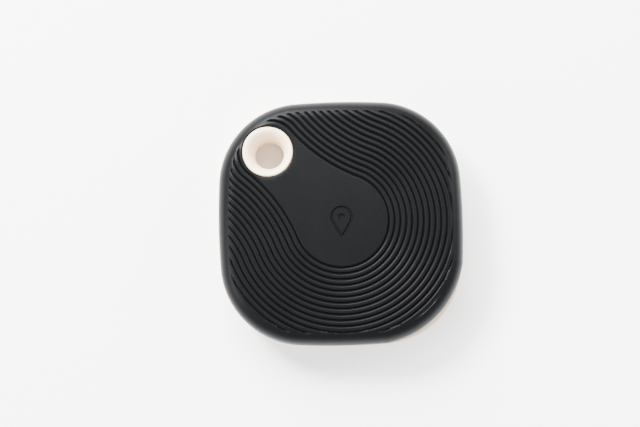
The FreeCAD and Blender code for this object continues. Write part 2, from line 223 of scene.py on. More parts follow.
table_width = 20
table_gap = 0.02 * mm
bpy.ops.mesh.primitive_plane_add(size=table_width, location=(0, 0, -table_gap))
table = bpy.context.object
table.name = "table"
bpy.ops.object.transform_apply(location=True)
card = Finish("white_board", (0.94, 0.94, 0.935), 0.7, Specular_IOR_Level=0.3)
card.set("Base Color", card.mix(card.noise(40 * mm, 3.0), (0.93, 0.93, 0.925), (0.95, 0.95, 0.945)))
card.bump(card.noise(0.4 * mm, 4.0), 0.02 * mm)
card.on(table)


# ---- Rear half
# One moulding in ivory plastic: the tray, the upstand that plugs into the front half, and the flared
# eyelet. Its tool was spark-eroded, which leaves a very fine, even grain.

ivory = Finish("ivory_plastic", (0.82, 0.65, 0.46), 0.42)
ivory.set("Subsurface Weight", 0.12)
ivory.set("Subsurface Scale", 1.5 * mm)
ivory.set("Subsurface Radius", (1.0, 0.75, 0.5))
cloud = ivory.noise(6 * mm, 3.0)
ivory.set("Base Color", ivory.mix(cloud, (0.79, 0.61, 0.42), (0.82, 0.67, 0.49)))
ivory.set("Roughness", ivory.noise(1.2 * mm, 4.0) * 0.12 + 0.36)
ivory.bump(ivory.noise(0.09 * mm, 3.0), 0.006 * mm)
ivory.on(nodes["rear_shell"])


# ---- Seals
# A moulded silicone gasket in the rear half's groove and an O-ring round the eyelet, both pale grey. They
# are smooth from a polished tool, a little dusty with talc, and are pressed in by hand.

silicone = Finish("grey_silicone", (0.46, 0.48, 0.48), 0.4)
silicone.set("Subsurface Weight", 0.2)
silicone.set("Subsurface Scale", 1.0 * mm)
talc = silicone.noise(0.7 * mm, 5.0)
silicone.set("Base Color", silicone.mix(talc, (0.40, 0.42, 0.42), (0.56, 0.57, 0.57)))
silicone.set("Roughness", talc * 0.35 + 0.25)
silicone.bump(silicone.noise(0.15 * mm, 3.0), 0.008 * mm)
silicone.on(nodes["housing_gasket"], nodes["eyelet_seal"])


# ---- Front carrier
# The hard inner frame of the front half, moulded in dark grey glass-filled nylon, with its four snap hooks.
# The glass shows as short pale streaks in the surface, and the flow of the melt as slow changes of gloss.

nylon = Finish("dark_nylon", (0.04, 0.04, 0.043), 0.45)
streaks = nylon.noise(0.12 * mm, 2.0, stretch=(1, 0.25, 1))
nylon.set("Base Color", nylon.mix((streaks > 0.66) * 0.35, (0.036, 0.037, 0.040), (0.16, 0.16, 0.16)))
nylon.set("Roughness", nylon.noise(5 * mm, 3.0) * 0.25 + 0.35)
nylon.bump(nylon.noise(0.1 * mm, 4.0), 0.008 * mm)
nylon.on(nodes["front_carrier"], nodes["snap_hooks"])


# ---- Circuit board
# Glass-fibre laminate with copper tracks under green solder mask on both faces, and bare plated holes. The
# holes are not cut: their middles are painted near black, which is painted shade. The routed edge shows the
# layers of glass cloth. It is screwed to three posts of the carrier.

board = Finish("circuit_board", (0.015, 0.09, 0.045), 0.35, Coat_Weight=0.4, Coat_Roughness=0.15)
bx, by, bz = board.axis("x"), board.axis("y"), board.axis("z")
patch_size, lane_pitch, track_width = 5 * mm, 0.6 * mm, 0.22 * mm
jog = bx.maths("PINGPONG", bx, 4 * mm).least(1.5 * mm)
lane = (by + jog) % lane_pitch
square_patches = {"distance": "CHEBYCHEV"}
patch_place = {"Vector": board.place, "Scale": 1 / patch_size}
patch_colour = board.node("ShaderNodeTexVoronoi", square_patches, patch_place, out="Color")
patch = board.part_of(patch_colour, "x")  # a number from 0 to 1 for each patch of the board
tracked, poured = 0.62, 0.8  # a patch below the first has tracks, and one above the second is all copper
copper = ((lane < track_width) * (patch < tracked)).most(patch > poured)
via_pitch, pad_radius, via_radius = 2.6 * mm, 0.27 * mm, 0.13 * mm
via_place = {"Vector": board.place, "Scale": 1 / via_pitch}
via_away = board.node("ShaderNodeTexVoronoi", {}, via_place) * via_pitch
pad = via_away < pad_radius
# Painted shade: a disc in the middle of each pad is coloured near black where a hole's inside would be
# dark. The bump sinks it and it is not metallic.
hole_painted_dark = via_away < via_radius
face = board.facing("z") > 0.7
mask_green = board.mix(copper, (0.008, 0.055, 0.026), (0.020, 0.125, 0.055))
# The pads' plating colour, with the holes' middles painted near black as painted shade.
plating_and_painted_hole_shade = board.mix(hole_painted_dark, (0.72, 0.52, 0.24), (0.01, 0.012, 0.01))
cloth_pitch, cloth_thread = 0.16 * mm, 0.05 * mm
layers = (bz % cloth_pitch) < cloth_thread
cloth = board.mix(layers, (0.42, 0.38, 0.20), (0.60, 0.56, 0.38))
board.set("Base Color", board.mix(face, cloth, board.mix(pad, mask_green, plating_and_painted_hole_shade)))
board.set("Metallic", pad * face * (1 - hole_painted_dark))
board.set("Roughness", 0.75 - face * 0.45 + board.noise(1 * mm) * 0.08)
board.bump(copper.most(pad) - hole_painted_dark, 0.03 * mm)
board.on(nodes["circuit_board"])


# ---- Board screws
# Three small steel screws, cold-headed, thread-rolled and zinc-plated. The plating is uneven and a little
# yellow in places. They are driven through the board into the carrier's posts.

zinc = Finish("zinc_screws", (0.46, 0.46, 0.47), 0.3, 1.0)
zinc.set("Base Color", zinc.mix(zinc.noise(0.5 * mm, 3.0), (0.38, 0.40, 0.44), (0.62, 0.61, 0.58)))
zinc.set("Roughness", zinc.noise(0.2 * mm, 3.0) * 0.3 + 0.2)
zinc.bump(zinc.noise(0.08 * mm, 2.0), 0.01 * mm)
zinc.on(nodes["board_screws"])


# ---- Switch
# A surface-mount push switch under the middle of the front: black moulded base and key, a stainless snap
# dome between them, a stamped frame over the top and four tinned legs soldered to the board.

black_moulding = Finish("black_moulding", (0.03, 0.03, 0.03), 0.5)
grain = black_moulding.noise(0.3 * mm, 4.0)
black_moulding.set("Base Color", black_moulding.mix(grain, (0.022, 0.022, 0.023), (0.05, 0.05, 0.05)))
black_moulding.set("Roughness", grain * 0.3 + 0.35)
black_moulding.bump(black_moulding.noise(0.06 * mm, 2.0), 0.005 * mm)
black_moulding.on(*(nodes[n] for n in ("switch_base", "switch_key", "sounder_case")))

stamped = Finish("stamped_steel", (0.7, 0.69, 0.67), 0.25, 1.0)
rolled = stamped.noise(0.08 * mm, 3.0, stretch=(0.08, 1, 1))
stamped.set("Base Color", stamped.mix(rolled, (0.60, 0.59, 0.57), (0.76, 0.75, 0.72)))
stamped.set("Roughness", rolled * 0.25 + 0.14)
stamped.bump(rolled, 0.002 * mm)
stamped.on(nodes["switch_frame"])

dome_low, dome_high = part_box("switch_dome")
dome_span, dome_sheet = dome_high.x, 0.08 * mm
dome_rise = dome_high.z - dome_low.z - dome_sheet
dome_bend = (dome_span**2 + dome_rise**2) / (2 * dome_rise)
dome_rings, dome_count = 15, 96
weld = 0.001 * mm
sharp_edge = math.radians(35)


def turned(name, profile, count):
    """A piece turned from a closed profile of (radius, height) corners."""
    mesh = bpy.data.meshes.new(name)
    pairs = [(i, (i + 1) % len(profile)) for i in range(len(profile))]
    loop = [(i, j) for i, j in pairs if profile[i][0] + profile[j][0] > 0]  # none along the axis
    mesh.from_pydata([(r, 0, z) for r, z in profile], loop, [])
    piece = bpy.data.objects.new(name, mesh)
    bpy.context.collection.objects.link(piece)
    bpy.ops.object.select_all(action="DESELECT")
    piece.select_set(True)
    bpy.context.view_layer.objects.active = piece
    turning = piece.modifiers.new("turning", "SCREW")
    turning.steps = turning.render_steps = count
    turning.use_merge_vertices = True
    turning.merge_threshold = weld
    bpy.ops.object.modifier_apply(modifier=turning.name)
    bpy.ops.object.mode_set(mode="EDIT")
    bpy.ops.mesh.select_all(action="SELECT")
    bpy.ops.mesh.remove_doubles(threshold=weld)
    bpy.ops.mesh.normals_make_consistent(inside=False)
    bpy.ops.object.mode_set(mode="OBJECT")
    bpy.ops.object.shade_smooth_by_angle(angle=sharp_edge)
    return piece


dome_radii = np.linspace(dome_span, 0, dome_rings)
bend_centre = dome_low.z + dome_rise - dome_bend
over_bend = dome_bend + dome_sheet
under_dome = [(r, bend_centre + math.sqrt(dome_bend**2 - r**2)) for r in dome_radii]
over_dome = [(r, bend_centre + math.sqrt(over_bend**2 - r**2)) for r in dome_radii[::-1]]
snap_dome = turned("snap_dome", under_dome + over_dome, dome_count)
stamped.on(snap_dome)
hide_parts("switch_dome")
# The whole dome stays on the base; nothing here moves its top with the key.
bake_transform(snap_dome)

tin = Finish("solder_tin", (0.62, 0.62, 0.60), 0.35, 1.0)
flow = tin.noise(0.35 * mm, 3.0)
tin.set("Base Color", tin.mix(flow, (0.52, 0.52, 0.51), (0.74, 0.74, 0.72)))
tin.set("Roughness", flow * 0.35 + 0.18)
tin.bump(flow, 0.02 * mm)
tin.on(nodes["switch_legs"], nodes["sounder_terminals"])


# ---- Sounder
# The piezo disc inside the black sounder case: thin rolled brass with a grey ceramic spot fired on its
# middle. The case is moulded like the switch's base, and its three pads are tinned like the switch's legs.


def middle_of(name):
    """The middle of a node's box."""
    low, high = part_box(name)
    return (low + high) / 2


brass = Finish("brass_disc", (0.72, 0.52, 0.22), 0.3, 1.0)
disc = middle_of("sounder_disc")
spot_radius = 2.9 * mm
ceramic_spot = (brass.axis("x") - disc.x).length_with(brass.axis("y") - disc.y) < spot_radius
mill = brass.noise(0.1 * mm, 3.0, stretch=(1, 0.06, 1))
sheet_brass = brass.mix(mill, (0.62, 0.43, 0.17), (0.80, 0.60, 0.28))
brass.set("Base Color", brass.mix(ceramic_spot, sheet_brass, (0.55, 0.55, 0.52)))
brass.set("Metallic", 1 - ceramic_spot * 0.6)
brass.set("Roughness", mill * 0.2 + ceramic_spot * 0.3 + 0.2)
brass.bump(ceramic_spot, 0.02 * mm)
brass.on(nodes["sounder_disc"])


# ---- Chips
# The radio chip and the sounder's driver, both sealed in black resin and soldered to the board. A dot in
# the radio chip's corner, burnt in with a laser, shows which pin is the first.

resin = Finish("chip_resin", (0.025, 0.025, 0.027), 0.55)
chip_low, chip_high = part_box("bluetooth_chip")
dot_inset, dot_radius = 0.7 * mm, 0.28 * mm
dot_x = resin.axis("x") - (chip_low.x + dot_inset)
dot_y = resin.axis("y") - (chip_high.y - dot_inset)
first_pin = dot_x.length_with(dot_y) < dot_radius
speckle = resin.noise(0.07 * mm, 4.0)
resin.set("Base Color", resin.mix(first_pin, (0.025, 0.025, 0.027), (0.12, 0.12, 0.12)))
resin.set("Roughness", speckle * 0.3 + 0.4)
resin.bump(speckle - first_pin, 0.01 * mm)
resin.on(nodes["bluetooth_chip"], nodes["sounder_driver"])


# ---- Crystals
# Two quartz crystals that keep time for the radio and for the clock, each in a small welded metal can with
# a thin flash of gold. Both are soldered to the board.

gold = Finish("crystal_can", (0.68, 0.66, 0.60), 0.25, 1.0)
flash = gold.noise(0.6 * mm, 3.0)
gold.set("Base Color", gold.mix(flash, (0.66, 0.65, 0.62), (0.82, 0.72, 0.48)))
gold.set("Roughness", gold.noise(0.1 * mm, 3.0) * 0.25 + 0.15)
gold.bump(flash, 0.004 * mm)
gold.on(nodes["main_crystal"], nodes["clock_crystal"])


# ---- Aerial
# A block of glazed white ceramic with a winding printed on it in grey silver. Its two ends are silvered,
# and it is soldered to the board by them.

glazed = Finish("aerial_ceramic", (0.72, 0.74, 0.76), 0.2, Coat_Weight=0.3)
aerial_low, aerial_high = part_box("chip_antenna")
end_starts = (aerial_high.x - aerial_low.x) * 0.36  # from the aerial's middle
winding_pitch, winding_width = 0.5 * mm, 0.12 * mm
metal_end = abs(glazed.axis("x") - middle_of("chip_antenna").x) > end_starts
trace = ((glazed.axis("x") % winding_pitch) < winding_width) * (1 - metal_end)
glaze = glazed.mix(trace, (0.74, 0.76, 0.78), (0.30, 0.31, 0.33))
glazed.set("Base Color", glazed.mix(metal_end, glaze, (0.70, 0.69, 0.66)))
glazed.set("Metallic", metal_end.most(trace))
glazed.set("Roughness", glazed.noise(0.3 * mm, 3.0) * 0.2 + 0.12)
glazed.bump(trace.most(metal_end), 0.01 * mm)
glazed.on(nodes["chip_antenna"])


# ---- Sounder's coil
# The coil that steps up the sounder's voltage: copper wire wound on a ferrite core and dipped in dark
# resin, through which its turns show on the sides. It is soldered to the board.

coil = Finish("coil_resin", (0.10, 0.10, 0.11), 0.6)
wire_pitch, wire_width = 0.18 * mm, 0.09 * mm
turns = ((coil.axis("z") % wire_pitch) < wire_width) * (coil.facing("z") < 0.5)
coil.set("Base Color", coil.mix(turns, (0.09, 0.09, 0.10), (0.42, 0.20, 0.09)))
coil.set("Roughness", coil.noise(0.15 * mm, 4.0) * 0.35 + 0.4)
coil.bump(turns + coil.noise(0.1 * mm, 3.0) * 0.3, 0.03 * mm)
coil.on(nodes["sounder_coil"])


# ---- Status light
# A small surface-mount light: a pale block of clear resin over a round yellow spot of phosphor, soldered to
# the board.

lens = Finish("led_resin", (0.85, 0.83, 0.66), 0.15, Coat_Weight=0.6, Coat_Roughness=0.05)
light_middle = middle_of("status_led")
glow_x, glow_y = lens.axis("x") - light_middle.x, lens.axis("y") - light_middle.y
glow_radius = 0.26 * mm
phosphor = glow_x.length_with(glow_y) < glow_radius
lens.set("Base Color", lens.mix(phosphor, (0.84, 0.84, 0.80), (0.86, 0.74, 0.20)))
lens.set("Roughness", lens.noise(0.2 * mm, 3.0) * 0.2 + 0.08)
lens.bump(lens.noise(0.1 * mm, 2.0), 0.004 * mm)
lens.on(nodes["status_led"])


# ---- Capacitors and resistors
# Rows of tiny blocks soldered to the board by their ends: capacitors of fired brown ceramic, and resistors
# with a dark glassy coat over the film.

fired = Finish("capacitor_ceramic", (0.42, 0.30, 0.19), 0.5)
fleck = fired.noise(0.09 * mm, 4.0)
fired.set("Base Color", fired.mix(fleck, (0.34, 0.23, 0.14), (0.50, 0.37, 0.25)))
fired.set("Roughness", fleck * 0.3 + 0.35)
fired.bump(fleck, 0.006 * mm)
fired.on(nodes["capacitors"])

film = Finish("resistor_glaze", (0.02, 0.02, 0.025), 0.25, Coat_Weight=0.4)
ripple = film.noise(0.25 * mm, 3.0)
film.set("Base Color", film.mix(ripple, (0.012, 0.012, 0.016), (0.05, 0.05, 0.06)))
film.set("Roughness", ripple * 0.3 + 0.12)
film.bump(ripple, 0.006 * mm)
film.on(nodes["resistors"])


# ---- Battery contacts
# A strap and a three-armed spring stamped from nickel-plated spring steel, brushed by the rolling of the
# sheet. Both are soldered to the back of the board and grip the cell between them.

spring = Finish("contact_steel", (0.62, 0.60, 0.55), 0.28, 1.0)
brushed = spring.noise(0.05 * mm, 3.0, stretch=(0.04, 1, 1))
stain = spring.noise(3 * mm, 4.0)
spring.set("Base Color", spring.mix(stain, (0.56, 0.54, 0.49), (0.72, 0.70, 0.64)))
spring.set("Roughness", brushed * 0.3 + stain * 0.1 + 0.12)
spring.bump(brushed, 0.002 * mm)
spring.on(nodes["battery_clip"], nodes["negative_contact"])


# ---- Coin cell
# A lithium coin cell: a drawn can and cap in bright nickel-plated steel with a dark sealing ring crimped
# between them. The can's face was turned and has a raised plus sign.

nickel = Finish("cell_steel", (0.66, 0.66, 0.66), 0.22, 1.0)
nx, ny = nickel.axis("x"), nickel.axis("y")
ring_width = 1 / 12000
ring_place = {"W": nx.length_with(ny), "Scale": 1 / ring_width, "Detail": 2.0}
rings = nickel.node("ShaderNodeTexNoise", {"noise_dimensions": "1D"}, ring_place)
sign_place, sign_arm, sign_stroke = 6.2 * mm, 1.1 * mm, 0.17 * mm  # both of the last are halves
sign_y = abs(ny - sign_place)
upright = (abs(nx) < sign_stroke) * (sign_y < sign_arm)
level_bar = (abs(nx) < sign_arm) * (sign_y < sign_stroke)
plus = upright.most(level_bar)
nickel.set("Base Color", nickel.mix(nickel.noise(4 * mm, 4.0), (0.62, 0.62, 0.62), (0.74, 0.74, 0.73)))
nickel.set("Roughness", rings * 0.22 + nickel.noise(1 * mm, 4.0) * 0.12 + 0.08)
nickel.bump(plus + rings * 0.15, 0.03 * mm)
nickel.on(nodes["cell_can"], nodes["cell_cap"])

sealing = Finish("cell_sealing", (0.03, 0.03, 0.035), 0.4)
wax = sealing.noise(0.5 * mm, 3.0)
sealing.set("Base Color", sealing.mix(wax, (0.02, 0.02, 0.025), (0.06, 0.06, 0.07)))
sealing.set("Roughness", wax * 0.3 + 0.25)
sealing.bump(wax, 0.01 * mm)
sealing.on(nodes["cell_seal"])


# ---- Inside the cell
# A pressed pellet of black cathode powder lies in the can, a disc of white felt over it, and a disc punched
# from lithium sheet, dull with tarnish, is pressed into the cap.

powder = Finish("cathode_mix", (0.02, 0.02, 0.02), 0.85)
clump = powder.noise(0.12 * mm, 5.0)
powder.set("Base Color", powder.mix(clump, (0.010, 0.010, 0.010), (0.045, 0.043, 0.04)))
powder.bump(clump, 0.04 * mm)
powder.on(nodes["cell_cathode"])

felt = Finish("separator_felt", (0.80, 0.80, 0.78), 0.9)
fibre = felt.noise(0.06 * mm, 5.0, stretch=(1, 0.2, 1))
felt.set("Base Color", felt.mix(fibre, (0.68, 0.68, 0.66), (0.88, 0.88, 0.86)))
felt.bump(fibre, 0.02 * mm)
felt.on(nodes["cell_separator"])

foil = Finish("lithium", (0.60, 0.60, 0.62), 0.4, 1.0)
tarnish = foil.noise(1.5 * mm, 5.0)
foil.set("Base Color", foil.mix(tarnish, (0.42, 0.42, 0.46), (0.72, 0.72, 0.73)))
foil.set("Roughness", tarnish * 0.4 + 0.2)
foil.bump(foil.noise(0.2 * mm, 3.0), 0.01 * mm)
foil.on(nodes["cell_lithium"])


# ---- Plunger
# The stiff plate that is bonded under the skin's pressed middle and pushes the switch's key. It is moulded
# in the carrier's nylon.

nylon.on(nodes["button_plunger"])


# ---- Front skin
# Soft black overmoulding, one piece over the whole front and down the sides. Rounded ribs run round the
# smooth middle and on around the eyelet, each a set distance outside the last, and end short of the rim.

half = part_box("front_skin")[1].x
skin_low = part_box("front_skin")[0].z
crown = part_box("button_membrane")[1].z
crown_radius = 260 * mm
rim_round = 2.6 * mm
side_radius, corner_radius, pry_radius = 110 * mm, 12.5 * mm, 14.5 * mm
eyelet = np.array(middle_of("eyelet_seal")[:2])
eyelet_hole = 3.88 * mm
hole_round = 0.14 * mm
skin_depth = 0.83 * mm

middle_radius = 7.10 * mm  # first groove round the smooth middle
eyelet_radius = 4.6 * mm  # first groove round the eyelet
neck_radius = 25 * mm  # the hollow curve that joins the two
pitch = 0.877 * mm
groove_depth = 0.26 * mm
groove_sharpness = 3.2
rib_end, rib_full = 1.55 * mm, 1.85 * mm  # insets where the grooves start and where they reach full depth

# The outline: four shallow sides and four corners, each tangent to the next, but for the pry corner
reach = side_radius - half
difference = side_radius - corner_radius
corner = (math.sqrt(2 * difference**2 - reach**2) - reach) / 2
spread = math.atan2(corner, corner + reach)
corner_away = corner * math.sqrt(2)
pry_half = corner_radius * math.sin(math.pi / 4 - spread)
pry_chord = corner_away + corner_radius * math.cos(math.pi / 4 - spread)
pry_away = pry_chord - math.sqrt(pry_radius**2 - pry_half**2)

outline = []  # centre x, centre y, radius, first angle, last angle, anticlockwise
for quarter in range(4):
    turn = quarter * math.pi / 2
    outline.append(
        (-reach * math.cos(turn), -reach * math.sin(turn), side_radius, turn - spread, turn + spread)
    )
    diagonal = turn + math.pi / 4
    away, radius, span = corner_away, corner_radius, math.pi / 4 - spread
    if quarter == 3:  # the pry corner stands back
        away, radius, span = pry_away, pry_radius, math.asin(pry_half / pry_radius)
    outline.append(
        (away * math.cos(diagonal), away * math.sin(diagonal), radius, diagonal - span, diagonal + span)
    )


def walk_outline(spacing):
    """Points along the outline, anticlockwise, and the way straight out at each."""
    points, outs = [], []
    for i, (cx, cy, radius, first, last) in enumerate(outline):
        steps = math.ceil(radius * (last - first) / spacing)
        for step in range(steps):
            angle = first + (last - first) * step / steps
            out = Vector((math.cos(angle), math.sin(angle)))
            points.append((cx + radius * out.x, cy + radius * out.y))
            if step == 0:  # at a joint, out is mitred between the two arcs
                before = Vector((math.cos(outline[i - 1][4]), math.sin(outline[i - 1][4])))
                out = (out + before) / (1 + out.dot(before))
            outs.append(out)
    return np.array(points), np.array(outs)


hair = 1e-6  # radians by which neighbouring arcs overlap, so that no point falls between them


def inset_at(xy):
    """How far inside the outline each point lies."""
    inset = np.full(len(xy), np.inf)
    for cx, cy, radius, first, last in outline:
        away = xy - (cx, cy)
        angle = np.arctan2(away[:, 1], away[:, 0]) - (first + last) / 2
        angle = (angle + np.pi) % (2 * np.pi) - np.pi
        inside = np.abs(angle) <= (last - first) / 2 + hair
        found = radius - np.hypot(away[:, 0], away[:, 1])
        inset = np.where(inside, np.minimum(inset, found), inset)
    return np.where(np.isinf(inset), 0, inset)


# The first groove: an arc round the middle, one round the eyelet, and a hollow arc that joins them on each
# side. u runs from the ribs' middle to the eyelet, and v to its left.
ribs_middle = np.array((0.12, 0.08)) * mm
ribs_eyelet = eyelet + np.array((0.15, 0.15)) * mm
eyelet_away = math.hypot(*(ribs_eyelet - ribs_middle))
along = (ribs_eyelet - ribs_middle) / eyelet_away
across = np.array((-along[1], along[0]))
to_middle, to_eyelet = middle_radius + neck_radius, eyelet_radius + neck_radius
neck_u = (to_middle**2 - to_eyelet**2 + eyelet_away**2) / (2 * eyelet_away)
neck_v = math.sqrt(to_middle**2 - neck_u**2)
middle_turn = math.atan2(neck_v, neck_u)
eyelet_turn = math.atan2(neck_v, neck_u - eyelet_away)


def offset_at(xy):
    """How far outside the first groove each point lies."""
    from_middle = xy - ribs_middle
    u, v = from_middle @ along, np.abs(from_middle @ across)
    round_middle = np.hypot(u, v) - middle_radius
    round_eyelet = np.hypot(u - eyelet_away, v) - eyelet_radius
    round_neck = neck_radius - np.hypot(u - neck_u, v - neck_v)
    by_eyelet = np.arctan2(v, u - eyelet_away) <= eyelet_turn
    by_middle = np.arctan2(v, u) >= middle_turn
    return np.where(by_eyelet, round_eyelet, np.where(by_middle, round_middle, round_neck))


def smooth(x):
    """0 to 1 with a gentle start and end."""
    x = np.clip(x, 0, 1)
    return x * x * (3 - 2 * x)


def dome(xy):
    """Height of the plain domed front."""
    return crown - (xy**2).sum(1) / (2 * crown_radius)


def front(xy):
    """Height of the front with its round rim and its grooves."""
    inset, offset = inset_at(xy), offset_at(xy)
    into_rim = np.clip(rim_round - inset, 0, rim_round)
    rim = rim_round - np.sqrt(rim_round**2 - into_rim**2)
    from_groove = np.abs(offset - pitch * np.maximum(np.round(offset / pitch), 0)) / (pitch / 2)
    groove = ((1 + np.cos(np.pi * np.clip(from_groove, 0, 1))) / 2) ** groove_sharpness
    fade = smooth((inset - rib_end) / (rib_full - rib_end))
    return dome(xy) - rim - groove_depth * groove * fade


# The mesh has its points on lines that run along the grooves: these are their offsets from the first one.
groove_count = 16
groove_steps = (0, 0.13, 0.26, 0.39, 0.53, 0.68, 0.84)  # from a groove's bottom to the crest beside it
asides = [side * step / 2 for side in (-1, 1) for step in groove_steps]
flanks = {round((n + aside) * pitch, 9) for n in range(groove_count) for aside in asides}
crests = {(n - 0.5) * pitch for n in range(groove_count + 1)}
levels = np.array(sorted(flanks | crests))


def arc_rays(u, v, radius, first, last, count, sign):
    """Points on the levels along rays from one arc of the first groove. sign is -1 if the arc is hollow."""
    found = []
    for angle in np.linspace(first, last, count):
        r = radius + sign * levels
        uv = np.stack([u + r * np.cos(angle), v + r * np.sin(angle)], 1)
        found.append(uv)
    return np.concatenate(found)


def circle(centre, radius, count):
    """Points evenly round a circle, anticlockwise."""
    angles = np.arange(count) * 2 * np.pi / count
    return np.stack([centre[0] + radius * np.cos(angles), centre[1] + radius * np.sin(angles)], 1)


class Sheet:
    """Points gathered for a surface, no two of them closer than a given gap, and loops that bound it."""

    def __init__(self, gap):
        self.gap = gap
        self.points = []
        self.taken = set()
        self.edges = []
        self.loops = []

    def cell(self, point):
        """The square of a grid, as wide as the gap, that a point is in."""
        return tuple(math.floor(c / self.gap) for c in point)

    def near(self, point):
        """Whether a point that is in already lies in the same square or in one next to it."""
        i, j = self.cell(point)
        return any((i + a, j + b) in self.taken for a in (-1, 0, 1) for b in (-1, 0, 1))

    def add(self, points, crowd=False):
        """Adds points, but for those that would be too near to others, unless they may crowd."""
        for point in points:
            if crowd or not self.near(point):
                self.taken.add(self.cell(point))
                self.points.append(Vector(point))

    def loop(self, points, hole=True):
        """Adds a closed loop of points and gives their numbers. Nothing fills a loop that is a hole."""
        first = len(self.points)
        self.add(points, crowd=True)
        count = len(points)
        self.edges += [(first + i, first + (i + 1) % count) for i in range(count)]
        if hole:
            self.loops.append((first, first + count))
        return range(first, first + count)

    def triangles(self):
        """Triangles between the loops, anticlockwise from above."""
        only_inside, closeness = 1, 1e-9
        result = delaunay_2d_cdt(self.points, self.edges, [], only_inside, closeness)
        coords, _, faces, came = result[:4]
        if len(coords) != len(self.points):
            raise ValueError("two loops of a sheet touch")
        old = [group[0] for group in came]
        kept = []
        for face in faces:
            corners = [old[i] for i in face]
            if any(all(a <= i < b for i in corners) for a, b in self.loops):
                continue
            kept.append(corners)
        return kept


def mesh_piece(name, points, faces):
    """A new object from points and faces, smooth but for its sharp edges."""
    mesh = bpy.data.meshes.new(name)
    mesh.from_pydata([tuple(p) for p in points], [], faces)
    mesh.validate()
    piece = bpy.data.objects.new(name, mesh)
    bpy.context.collection.objects.link(piece)
    bpy.ops.object.select_all(action="DESELECT")
    piece.select_set(True)
    bpy.context.view_layer.objects.active = piece
    bpy.ops.object.shade_smooth_by_angle(angle=sharp_edge)
    return piece


def band(first, second):
    """Quads between two loops of equal count."""
    count = len(first)
    pairs = [(i, (i + 1) % count) for i in range(count)]
    return [(first[i], first[j], second[j], second[i]) for i, j in pairs]


rim_inset = 1.25 * mm  # the front's sheet ends here, and rows of quads go on over the rim
press_outer, press_inner = 6.45 * mm, 3.0 * mm
press_count, eyelet_count = 144, 112
rim_points, rim_outs = walk_outline(spacing=0.30 * mm)

sheet = Sheet(gap=0.018 * mm)
rim_loop = sheet.loop(rim_points - rim_outs * rim_inset, hole=False)
press_loop = sheet.loop(circle((0, 0), press_outer, press_count))
hole_loop = sheet.loop(circle(eyelet, eyelet_hole + hole_round, eyelet_count))


def clear_of_loops(xy, gap):
    """The points that keep a gap from the eyelet's hole and from the pressed middle."""
    from_eyelet = np.hypot(*(xy - eyelet).T)
    from_press = np.hypot(*xy.T)
    return xy[(from_eyelet > eyelet_hole + hole_round + gap) & (from_press > press_outer + gap)]


# Points for the ends of the grooves: a few walks round the outline, with a point wherever a level is
# crossed and others evenly between.
fine_points, fine_outs = walk_outline(spacing=0.02 * mm)
end_walks, every = 7, 12
for inset in np.linspace(rib_end, rib_full + 0.04 * mm, end_walks):
    walked = fine_points - fine_outs * inset
    offset = offset_at(walked)
    step = np.searchsorted(levels, offset)
    after = np.roll(step, -1)
    crossing = np.nonzero((step != after) & (offset > -pitch / 2))[0]
    beyond = (crossing + 1) % len(walked)
    level = levels[np.minimum(np.maximum(step, after)[crossing] - 1, len(levels) - 1)]
    share = np.clip((level - offset[crossing]) / (offset[beyond] - offset[crossing]), 0, 1)[:, None]
    crossed = walked[crossing] * (1 - share) + walked[beyond] * share
    sheet.add(clear_of_loops(crossed, gap=0.05 * mm))
    sheet.add(clear_of_loops(walked[::every], gap=0.05 * mm))

# Points along the grooves, and a plain grid in the smooth middle
middle_rays, eyelet_rays, neck_rays = 170, 60, 48
rays = [
    arc_rays(0, 0, middle_radius, middle_turn, 2 * math.pi - middle_turn, middle_rays, 1),
    arc_rays(eyelet_away, 0, eyelet_radius, -eyelet_turn, eyelet_turn, eyelet_rays, 1),
]
for side in (-1, 1):
    first = math.atan2(-side * neck_v, -neck_u)
    last = math.atan2(-side * neck_v, eyelet_away - neck_u)
    if abs(last - first) > math.pi:  # the short way round
        last += side * 2 * math.pi
    rays.append(arc_rays(neck_u, side * neck_v, neck_radius, first, last, neck_rays, -1))
uv = np.concatenate(rays)
ribs = ribs_middle + uv[:, :1] * along + uv[:, 1:] * across
ribs = ribs[inset_at(ribs) > rib_full + 0.07 * mm]
sheet.add(clear_of_loops(ribs, gap=0.06 * mm))


def square_grid(low, high, spacing):
    """Points in rows and columns, low to high both ways, in millimetres."""
    places = np.arange(low, high, spacing) * mm
    return np.array([(x, y) for x in places for y in places])


plain = square_grid(-18, 18, 0.55)
inside_ribs = offset_at(plain) < -0.62 * pitch
plain = plain[inside_ribs & (inset_at(plain) > rib_full + 0.3 * mm)]
sheet.add(clear_of_loops(plain, gap=0.25 * mm))

top = np.array([tuple(p) for p in sheet.points])
faces = sheet.triangles()
points = [np.column_stack([top, front(top)])]


def add_row(xy, z):
    """Adds points to the skin and gives their numbers."""
    first = sum(len(row) for row in points)
    points.append(np.column_stack([xy, np.broadcast_to(z, len(xy))]))
    return range(first, first + len(xy))


def next_row(row, xy, z):
    """Adds a row of points, fills the band between it and the last row and gives its numbers."""
    new = add_row(xy, z)
    faces.extend(band(new, row))
    return new


# Down over the rim, straight down the side, round the lower edge and up the inside
quarter_round = [math.radians(angle) for angle in (30, 60, 90)]
rim_rows = 12
row = rim_loop
lean = math.acos(1 - rim_inset / rim_round)
for angle in np.linspace(lean, 0, rim_rows)[1:]:
    xy = rim_points - rim_outs * rim_round * (1 - math.cos(angle))
    row = next_row(row, xy, dome(xy) - rim_round * (1 - math.sin(angle)))
lip = 0.15 * mm
side_top = dome(rim_points) - rim_round
for share in (0.25, 0.5, 0.75, 1.0):
    row = next_row(row, rim_points, side_top * (1 - share) + (skin_low + lip) * share)
for angle in quarter_round:
    xy = rim_points - rim_outs * lip * (1 - math.cos(angle))
    row = next_row(row, xy, skin_low + lip * (1 - math.sin(angle)))
inner_round = 1.75 * mm
corner_middle = np.array((corner, -corner))
set_back = np.clip(corner_radius - np.hypot(*(rim_points - corner_middle).T), 0, None)
set_back[(rim_points[:, 0] < corner) | (rim_points[:, 1] > -corner)] = 0
inner_inset = skin_depth - set_back  # the skin is thinner at the pry corner


